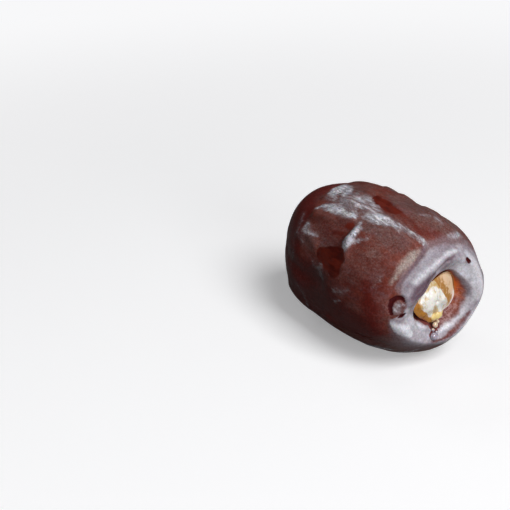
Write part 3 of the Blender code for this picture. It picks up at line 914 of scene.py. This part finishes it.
def mixed_colours(noises, masks, fibrous):
    """Colours of the lip's film, mottled, pleated, with painted shade and painted highlights, of peeled
    flesh, and of the pit's fibrous wall.
    """
    tone = mix_number(ramp(masks["pleats"], *PLEAT_TONE), noises["film"], PLEAT_SHADE)
    film = mix_colour(masks["painted_shade"], mix_colour(tone, FILM, FILM_DARK_AND_SHADE), FILM_DARK_AND_SHADE)
    filmy = mix_colour(noises["pit_film"], PIT_FILM_DARK, PIT_FILM)
    red = mix_colour(ramp(fibrous, *PIT_TONE), PIT_DARK, PIT_RED)
    return {
        "film": mix_colour(masks["whiter_film_and_highlight"], film, FILM_WHITE_AND_HIGHLIGHT),
        "peeled": mix_colour(noises["peeled"], PEELED_DARK, PEELED_FLESH),
        "pit": mix_colour(masks["red_wall"], filmy, red),
    }


def speckled(colour, noises, masks):
    """The colour times a fine speckle, which fades where the surface is smooth."""
    smooth = masks["peeled"]
    for name, smoothness in SMOOTHNESSES:
        smooth = joined("MAXIMUM", smooth, product(masks[name], smoothness))
    speckle = mix_number(smooth, noises["speckle"], 1)
    return node_after("ShaderNodeVectorMath", {0: colour, 1: speckle}, operation="MULTIPLY").outputs[0]


def skin_height(noises, masks, fibrous):
    """Flakes, higher where the skin has lifted and low where it has peeled, with pit fibres and grain."""
    lifted = joined("MAXIMUM", masks["silver_veil"], masks["pale"])
    flakes = product(noises["flakes"], mix_number(lifted, FLAT_FLAKES, LIFTED_FLAKES))
    flakes = product(flakes, mix_number(masks["peeled"], 1, PEELED_FLAKES))
    fibres = product(fibrous, product(masks["flesh"], PIT_FIBRES))
    return total(total(flakes, fibres), product(noises["grain"], GRAIN_SHARE))


def skin_material():
    """Mottled red-brown flesh, then what lies over it, layer by layer."""
    material, tree, place = new_material("date_skin")
    noises = named_noises(place, SKIN_NOISES)
    masks = frayed_masks(tree, place, SKIN_EDGES)
    masks.update({name: attribute(tree, name) for name in SOFT_MASKS})
    fleck = product(noises["fleck"], 1 - THREAD_SHARE)
    fibrous = total(fleck, product(masks["threads"], THREAD_SHARE))
    shares = {**masks, **mixed_shares(noises, masks)}
    colours = mixed_colours(noises, masks, fibrous)
    colour = painted(mix_colour(noises["mottle"], SKIN_DEEP, SKIN_WARM), [
        (product(shares[name], strength), colours.get(layer, layer)) for name, strength, layer in SKIN_LAYERS
    ])
    rough = ramp(noises["grain"], *SKIN_ROUGHNESS)
    for name, roughness in ROUGHNESSES:
        rough = mix_number(masks[name], rough, roughness)
    fill(tree, tree.nodes["Principled BSDF"], {
        "Base Color": speckled(colour, noises, masks),
        "Roughness": rough,
        "Coat Weight": product(masks["flesh"], 0.15),
        "Normal": bumped(skin_height(noises, masks, fibrous), 0.04 * MM),
        "Specular IOR Level": 0.1,
        "Coat Roughness": 0.12,
        "Subsurface Weight": 0.2,
        "Subsurface Radius": (1, 0.25, 0.12),
        "Subsurface Scale": 1 * MM,
    })
    return material


def add_object(name, data):
    """Puts an object with this mesh, light or camera into the scene."""
    made = bpy.data.objects.new(name, data)
    bpy.context.scene.collection.objects.link(made)
    return made


date = add_object("date", fruit_mesh)
fruit_mesh.materials.append(skin_material())
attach(date, "root")
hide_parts("date_fruit")


# The torn stalk remnant.
# When the fruit is pulled off, a plug of pale, juicy fibre stays in the pit. Its middle is cream and lumpy,
# and one side is torn to a flat golden facet. It leans on the steep side of the pit.

PLUG_PRESS = 0.15 * MM
PLUG_RADIUS = 4.1 * MM
PLUG_TOP_LEVEL = 0.36
PLUG_CROWN = 0.5 * MM
PLUG_FOOT = 0.9
PLUG_WAVES = (
    (-30, 26, 1.4), (-135, 32, -1.5), (-170, 30, -0.3), (80, 24, 0.75), (55, 55, 0.35), (140, 18, -0.35),
)
PLUG_TURNS = 260
PLUG_TOP_RINGS = 110
PLUG_SIDE_RINGS = 40

# Lumps and hollows of its top: y, z from the fruit's axis, half width, height
PLUG_LUMPS = (
    (-1.7, 0.6, 1.7, 0.5), (-2.1, -0.6, 0.8, 0.25), (0.7, 0.5, 0.9, 0.4), (-0.45, 0.5, 0.4, -0.25),
    (-0.9, 1.9, 0.9, 0.25), (0, -2.5, 0.9, 0.55), (1, -2.5, 0.6, 0.25), (-0.9, -1.9, 0.6, -0.25),
    (-3.8, 0.4, 0.7, 0.2), (-2.9, -1.6, 0.6, 0.15),
)

# Colours of its top as strokes: how soft their edges are, then points as (y, z, half width)
STROKES = {
    "cream": (0.8, (
        ((-0.9, 2.7, 0.7), (-2.2, 1.2, 1.5), (-2.2, -0.6, 1.1), (-1.7, -1.7, 0.8)),
        ((-0.4, 1.6, 1.2), (0.5, 0.3, 1.3), (0.9, -0.9, 0.9)),
    )),
    "lobe": (0.6, (((-0.6, -2.4, 0.7), (0.8, -2.5, 0.7)), ((0.1, -2.6, 0.8), (0.2, -3.4, 0.5)))),
    "amber": (0.5, (((-4.9, 1.3, 0.6), (-4.2, -0.4, 0.7), (-2.9, -2, 0.7), (-1.5, -3.1, 0.6)),)),
}
EDGE_TURN = -108  # the middle of the wet rim line
EDGE_REACH = 36
EDGE_END = 1.2  # in reaches from its middle
EDGE_END_FADE = 0.4
FOOT_TURN = 135  # where the dark red flesh reaches up round its edge
FOOT_REACH = 40
FACET_START = (-0.25, 3.5)
FACET_END = (2.2, -0.35)
FACET_SLOPE = 0.16
FACET_STEP = 0.12 * MM
FACET_WIDTH = 2.4 * MM  # over this far from its line the facet's outer part grows paler
FACET_EDGE = 0.3 * MM

# Soft noises of the plug, as layers: height, size of the lumps in millimetres, seed
FACET_STRAY = ((0.1 * MM, 0.6, 20),)
STROKE_STRAY = ((0.2 * MM, 0.8, 21),)
PULP = ((1, 0.75, 22), (0.5, 0.38, 23))
STRANDS = ((1, (1.6, 0.25, 1.3), 24),)
PULP_HEIGHT = 0.035 * MM
STRAND_HEIGHT = 0.05 * MM
WET_EDGE_HEIGHT = 0.1 * MM

# Places between the middle of the top at 0, its edge at 1 and the foot of the side at 2
TOP_FADE = 0.1
WET_EDGE_PLACE = 0.965
WET_EDGE_WIDTH = 0.1
WET_EDGE_STRAY = 0.1
AMBER_PLACE = 1.02
FOOT_PLACE = 1.04
FOOT_RISE = 0.16
FOOT_FADE = 0.35
FOOT_FADE_LESS = 0.2
FACET_FOOT = 1.1
PULP_FOOT = 1.3
PULP_FADE = 0.2


def beside_facet(across, up):
    """Distance to the right of the line where the golden facet meets the cream middle."""
    start, end = np.array(FACET_START) * MM, np.array(FACET_END) * MM
    leg = (end - start) / np.linalg.norm(end - start)
    return (up - start[1]) * leg[0] - (across - start[0]) * leg[1]


def stroke_cover(across, up, strokes, stray, softness):
    """How far each place of the top is covered by strokes, 0 to 1, with edges that stray."""
    edges = []
    for stroke in strokes:
        for (y0, z0, width0), (y1, z1, width1) in zip(stroke, stroke[1:]):
            leg = ((y1 - y0) * MM, (z1 - z0) * MM)
            edges.append(leg_edge(across - y0 * MM, up - z0 * MM, *leg, width0 * MM, width1 * MM))
    return smooth_step(0.5 - (np.min(edges, axis=0) + stray) / softness)


def plug_rings(turn):
    """Rings over the plug's domed top and down its side to the foot, and their shares of the way."""
    outline = waved_radius(turn, PLUG_RADIUS, PLUG_WAVES)
    top_edge = np.minimum(outline, wall_radius(turn, PLUG_TOP_LEVEL) + PLUG_PRESS)
    foot_edge = np.minimum(PLUG_FOOT * outline, wall_radius(turn, 1) + PLUG_PRESS)
    pit_floor = HALF_LENGTH - BOWL_DEPTH - PIT_DEPTH
    edge_x = pit_floor + PIT_DEPTH * (1 - smooth_step(PLUG_TOP_LEVEL))
    top = np.arange(1, PLUG_TOP_RINGS + 1)[:, None] / PLUG_TOP_RINGS + 0 * turn
    side = np.arange(1, PLUG_SIDE_RINGS + 1)[:, None] / PLUG_SIDE_RINGS + 0 * turn
    radius = np.concatenate((top * top_edge, top_edge + (foot_edge - top_edge) * side))
    x = np.concatenate((edge_x + PLUG_CROWN * (1 - top ** 3), edge_x + (pit_floor - edge_x) * side))
    across, up = -radius * np.sin(turn), radius * np.cos(turn) * HALF_HEIGHT / HALF_WIDTH
    return x, across, up, np.concatenate((top, 1 + side))


plug_turn = np.linspace(-math.pi, math.pi, PLUG_TURNS, endpoint=False)
plug_x, across, up, share = plug_rings(plug_turn)
plug = np.stack((plug_x, across, up), axis=-1)
facet_side = beside_facet(across, up)
facet = smooth_step(0.5 + (facet_side + layered_noise(plug, FACET_STRAY)) / FACET_EDGE)
plug_stray = layered_noise(plug, STROKE_STRAY)
plug_masks = {
    name: stroke_cover(across, up, strokes, plug_stray, softness * MM)
    for name, (softness, strokes) in STROKES.items()
}
plug_masks["cream"] = plug_masks["cream"] * (1 - facet)
plug_masks["amber"] = np.maximum(plug_masks["amber"], smooth_step((share - AMBER_PLACE) / TOP_FADE))
foot_side = turn_bell(plug_turn, FOOT_TURN, FOOT_REACH)
foot = smooth_step((share - FOOT_PLACE + FOOT_RISE * foot_side) / (FOOT_FADE - FOOT_FADE_LESS * foot_side))
# A raised wet rim along one edge, which the finish also paints with a highlight
edge_away = np.abs(turn_from(plug_turn, EDGE_TURN)) / math.radians(EDGE_REACH)
wet_edge = bell((share - WET_EDGE_PLACE + WET_EDGE_STRAY * plug_stray / MM) / WET_EDGE_WIDTH)
wet_edge = wet_edge * smooth_step((EDGE_END - edge_away) / EDGE_END_FADE)

# The plug's relief, which moves its top along x
lumps = np.zeros_like(across)
for lump_y, lump_z, half_width, height in PLUG_LUMPS:
    lumps = lumps + round_bump(across - lump_y * MM, up - lump_z * MM, half_width, height)
drop = (FACET_STEP + FACET_SLOPE * np.maximum(facet_side, 0)) * facet
relief = smooth_step((1 - share) / TOP_FADE) * lumps * (1 - facet)
relief = relief - smooth_step((FACET_FOOT - share) / TOP_FADE) * drop + WET_EDGE_HEIGHT * wet_edge
rough_fibre = PULP_HEIGHT * layered_noise(plug, PULP) * (1 - facet)
rough_fibre = rough_fibre + STRAND_HEIGHT * layered_noise(plug, STRANDS)
plug[..., 0] = plug[..., 0] + relief + rough_fibre * smooth_step((PULP_FOOT - share) / PULP_FADE)
plug = plug + to_frame
plug_mesh = ring_mesh("stalk_plug", plug[0].mean(axis=0), plug, plug[-1].mean(axis=0))
plug_masks.update(facet=facet, wet_edge=wet_edge, foot=foot)
plug_masks["outer_facet"] = smooth_step(facet_side / FACET_WIDTH)
store_masks(plug_mesh, plug_masks)

# Its finish, in tables like the skin's
FIBRE_NOISES = {
    "strands": (((1, 1, 0.7), 1500, 6, 0.65, 0.6),),
    "lumps": ((EVEN, 1300, 4, 0.55, 0.3),),
}
FIBRE_EDGES = {
    "cream": (EVEN, 0.7, 0.35, 1800),
    "facet": (EVEN, 0.3, 0.25, 2400),
    "lobe": (EVEN, 0.5, 0.35, 1500),
    "amber": (EVEN, 0.6, 0.35, 1500),
}
FIBRE_GOLD = (0.43, 0.2, 0.045, 1)
FIBRE_TAN = (0.74, 0.52, 0.34, 1)
FIBRE_CREAM = (0.9, 0.87, 0.81, 1)
FIBRE_BONE = (0.64, 0.49, 0.3, 1)
FIBRE_STRAW = (0.62, 0.39, 0.15, 1)
FIBRE_LOBE = (0.9, 0.68, 0.28, 1)
FIBRE_AMBER = (0.48, 0.2, 0.025, 1)
FIBRE_FOOT = (0.32, 0.06, 0.03, 1)
# A painted wet highlight, pinkish white, along the plug's raised rim
WET_EDGE_HIGHLIGHT = (1, 0.86, 0.84, 1)
GOLD_TONE = (0.4, 0.6)
BONE_TONE = (0.38, 0.62)
CREAM_TONE = (0.3, 0.48)
FIBRE_ROUGHNESS = (0.3, 0.7, 0.14, 0.32)
FACET_PALER = 0.12
FIBRE_STRANDS = 0.6


def fibre_material():
    """Moist straw-coloured fibre: cream in the middle, gold on the torn facet, amber at its juicy edge."""
    material, tree, place = new_material("stalk_fibre")
    strands, lumps = named_noises(place, FIBRE_NOISES).values()
    masks = frayed_masks(tree, place, FIBRE_EDGES)
    paler = mix_number(attribute(tree, "outer_facet"), -FACET_PALER, FACET_PALER)
    gold_share = ramp(total(strands, paler), *GOLD_TONE)
    colour = painted(mix_colour(ramp(lumps, *BONE_TONE), FIBRE_STRAW, FIBRE_BONE), (
        (masks["facet"], mix_colour(gold_share, FIBRE_GOLD, FIBRE_TAN)),
        (masks["cream"], mix_colour(ramp(lumps, *CREAM_TONE), FIBRE_BONE, FIBRE_CREAM)),
        (masks["amber"], FIBRE_AMBER),
        (masks["lobe"], FIBRE_LOBE),
        (attribute(tree, "foot"), FIBRE_FOOT),
        (attribute(tree, "wet_edge"), WET_EDGE_HIGHLIGHT),
    ))
    fill(tree, tree.nodes["Principled BSDF"], {
        "Base Color": colour,
        "Roughness": mix_number(masks["facet"], ramp(lumps, *FIBRE_ROUGHNESS), 0.4),
        "Coat Weight": mix_number(masks["facet"], 0.8, 0.2),
        "Normal": bumped(total(product(strands, FIBRE_STRANDS), lumps), 0.07 * MM),
        "Coat Roughness": 0.08,
        "Subsurface Weight": 0.2,
        "Subsurface Radius": (1, 0.5, 0.2),
        "Subsurface Scale": 0.7 * MM,
    })
    return material


stalk_plug = add_object("stalk_plug", plug_mesh)
plug_mesh.materials.append(fibre_material())
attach(stalk_plug, "root")
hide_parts("stalk_remnant")


# The beads of juice.
# Clear syrup that has run from the torn fibre and stands in a few beads at the low edge of the pit.
# Each is a drop that clings to the flesh by its own skin, so its lower part lies inside what it rests on.

# Beads: y, z from the fruit's axis, height along x, radius
BEADS = (
    (-1.15, -3.4, 16.95, 0.34), (-0.15, -4.25, 17.4, 0.5), (0.6, -3.9, 17.15, 0.32),
    (-0.85, -4.85, 17.8, 0.3), (-1.05, -5.85, 18.35, 0.66), (-0.25, -5.4, 18.05, 0.3),
)
BEAD_TURNS = 40
BEAD_RINGS = 20
BEAD_WOBBLE = 0.12
BEAD_WOBBLE_SIZE = 0.9
BEAD_SEED = 40


def bead_mesh():
    """Spheres whose radius wanders a little with a soft noise, all in one mesh."""
    bead_turn = np.linspace(0, 2 * math.pi, BEAD_TURNS, endpoint=False)
    tilt = (np.arange(1, BEAD_RINGS) / BEAD_RINGS * math.pi)[:, None]
    outward = np.stack((
        np.sin(tilt) * np.cos(bead_turn),
        np.sin(tilt) * np.sin(bead_turn),
        np.cos(tilt) + 0 * bead_turn,
    ), axis=-1)
    beads = bmesh.new()
    for number, (bead_y, bead_z, bead_x, bead_radius) in enumerate(BEADS):
        swell = 1 + BEAD_WOBBLE * soft_noise(outward, BEAD_WOBBLE_SIZE, BEAD_SEED + number)
        middle = np.array((bead_x, bead_y, bead_z)) * MM + to_frame
        rings = middle + outward * swell[..., None] * bead_radius * MM
        top, bottom = (middle + (0, 0, sign * bead_radius * MM) for sign in (1, -1))
        bead = ring_mesh("bead", bottom, rings[::-1], top)
        beads.from_mesh(bead)
        bpy.data.meshes.remove(bead)
    mesh = bpy.data.meshes.new("juice_beads")
    beads.to_mesh(mesh)
    beads.free()
    mesh.shade_smooth()
    return mesh


BEAD_LAVENDER = (0.4, 0.36, 0.43, 1)
BEAD_CREAM = (0.7, 0.56, 0.42, 1)
BEAD_CHANGE = -4.7 * MM  # the height over the fruit's axis where the colour changes
BEAD_CHANGE_FADE = 0.5 * MM
BEAD_CLOUD = (EVEN, 900, 3, 0.5, 0)
BEAD_ROUGHNESS = (0.3, 0.7, 0.06, 0.16)


def bead_material():
    """Wet, cloudy syrup, cream by the fibre and lavender below, where it lies on the film."""
    material, tree, place = new_material("juice")
    cloud = noise(place, *BEAD_CLOUD)
    height = node_after("ShaderNodeSeparateXYZ", {"Vector": place}).outputs["Z"]
    height = total(height, product(cloud, BEAD_CHANGE_FADE))
    change = float(to_frame[2]) + BEAD_CHANGE
    creamy = ramp(height, change, change + BEAD_CHANGE_FADE)
    fill(tree, tree.nodes["Principled BSDF"], {
        "Base Color": mix_colour(creamy, BEAD_LAVENDER, BEAD_CREAM),
        "Roughness": ramp(cloud, *BEAD_ROUGHNESS),
        "Coat Weight": 1,
        "Subsurface Weight": 0.6,
        "Subsurface Radius": (1, 0.6, 0.4),
        "Subsurface Scale": 0.6 * MM,
    })
    return material


juice_beads = add_object("juice_beads", bead_mesh())
juice_beads.data.materials.append(bead_material())
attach(juice_beads, "root")


# The studio.
# A plain pale floor under the fruit, a broad soft light above it, two weaker ones, and the camera.

FLOOR_RADIUS = 3
FLOOR_TURNS = 96
BLACK = (0, 0, 0, 1)
FLOOR_COLOUR = (0.86, 0.86, 0.87, 1)
FLOOR_BOUNCE = (0.1, 0.1, 0.1, 1)
FLOOR_MIRRORED = (0.3, 0.3, 0.3, 1)
FLOOR_GLOW = 0.35
FLOOR_FAR_GLOW = 1.09
FLOOR_FADE = (0.05, 0.32)  # from here to here the floor fades into the surround's paleness
WORLD_COLOUR = (0.975, 0.975, 0.985, 1)
WORLD_SEEN = 0.96
WORLD_LIGHT = 0.05
WORLD_MIRRORED = 0.03

# Lights: name, azimuth and elevation in degrees, distance, size, power
LIGHTS = (
    ("key_light", 92, 48, 1, 0.5, 8.2),
    ("side_light", 82, 14, 1, 0.4, 3.1),
    ("back_light", -88, 42, 0.9, 0.35, 0.45),
)

CAMERA_AZIMUTH = 60.4
CAMERA_ELEVATION = 24
CAMERA_ROLL = -1.2
CAMERA_DISTANCE = 0.2
CAMERA_AIM = Vector((-20.3, -13.35, 10.03)) * MM
SENSOR_WIDTH = 36
FOCAL_LENGTH = 74
NEAREST_SEEN = 0.01


def direction_from(azimuth, elevation):
    """Unit direction towards a place round the fruit: azimuth 0 is the -Y side and 90 the +X side."""
    a, e = math.radians(azimuth), math.radians(elevation)
    return Vector((math.sin(a) * math.cos(e), -math.cos(a) * math.cos(e), math.sin(e)))


def aim(thing, place, direction, roll=0):
    """Puts a light or the camera at a place that lies in a direction, looking back along it."""
    thing.location = place
    thing.rotation_mode = "QUATERNION"
    rolled = Quaternion((0, 0, 1), math.radians(roll))
    thing.rotation_quaternion = (-direction).to_track_quat("-Z", "Y") @ rolled


def make_floor():
    """A round pale floor, level with what the fruit rests on, which fades into the surround with distance."""
    angles = np.linspace(0, 2 * math.pi, FLOOR_TURNS, endpoint=False)
    rim = (FLOOR_RADIUS * np.cos(angles), FLOOR_RADIUS * np.sin(angles), np.full(FLOOR_TURNS, cad_low.z))
    mesh = bpy.data.meshes.new("floor")
    mesh.from_pydata(np.stack(rim, axis=-1).tolist(), [], [list(range(FLOOR_TURNS))])
    material, tree, place = new_material("floor_white")
    light_path = add_node(tree, "ShaderNodeLightPath").outputs
    distance = node_after("ShaderNodeVectorMath", {0: place}, operation="LENGTH").outputs["Value"]
    far = ramp(distance, *FLOOR_FADE)
    seen = mix_colour(far, FLOOR_COLOUR, BLACK)
    unseen = mix_colour(light_path["Is Glossy Ray"], FLOOR_BOUNCE, FLOOR_MIRRORED)
    glow = mix_number(far, FLOOR_GLOW, FLOOR_FAR_GLOW)
    fill(tree, tree.nodes["Principled BSDF"], {
        "Base Color": mix_colour(light_path["Is Camera Ray"], unseen, seen),
        "Roughness": 0.6,
        "Specular IOR Level": 0,
        "Emission Color": FLOOR_COLOUR,
        "Emission Strength": product(light_path["Is Camera Ray"], glow),
    })
    mesh.materials.append(material)
    floor = add_object("floor", mesh)


def make_light(name, azimuth, elevation, distance, size, power):
    """A square soft light that faces the fruit."""
    light = bpy.data.lights.new(name, "AREA")
    light.size = size
    light.energy = power
    direction = direction_from(azimuth, elevation)
    aim(add_object(name, light), direction * distance, direction)


def make_world():
    """A plain surround, pale to look at, dimmer as a light, and dimmer again in reflections."""
    world = bpy.data.worlds.new("surround")
    bpy.context.scene.world = world
    world.use_nodes = True
    tree = world.node_tree
    light_path = add_node(tree, "ShaderNodeLightPath").outputs
    strength = mix_number(light_path["Is Camera Ray"], WORLD_LIGHT, WORLD_SEEN)
    strength = mix_number(light_path["Is Glossy Ray"], strength, WORLD_MIRRORED)
    fill(tree, tree.nodes["Background"], {"Color": WORLD_COLOUR, "Strength": strength})


def make_camera():
    """The camera, at the photograph's viewing angle."""
    lens = bpy.data.cameras.new("camera")
    lens.sensor_width = SENSOR_WIDTH
    lens.lens = FOCAL_LENGTH
    lens.clip_start = NEAREST_SEEN
    camera = add_object("camera", lens)
    direction = direction_from(CAMERA_AZIMUTH, CAMERA_ELEVATION)
    aim(camera, CAMERA_AIM + direction * CAMERA_DISTANCE, direction, CAMERA_ROLL)
    bpy.context.scene.camera = camera


make_floor()
for light in LIGHTS:
    make_light(*light)
make_world()
make_camera()
bpy.context.scene.view_settings.view_transform = "Standard"
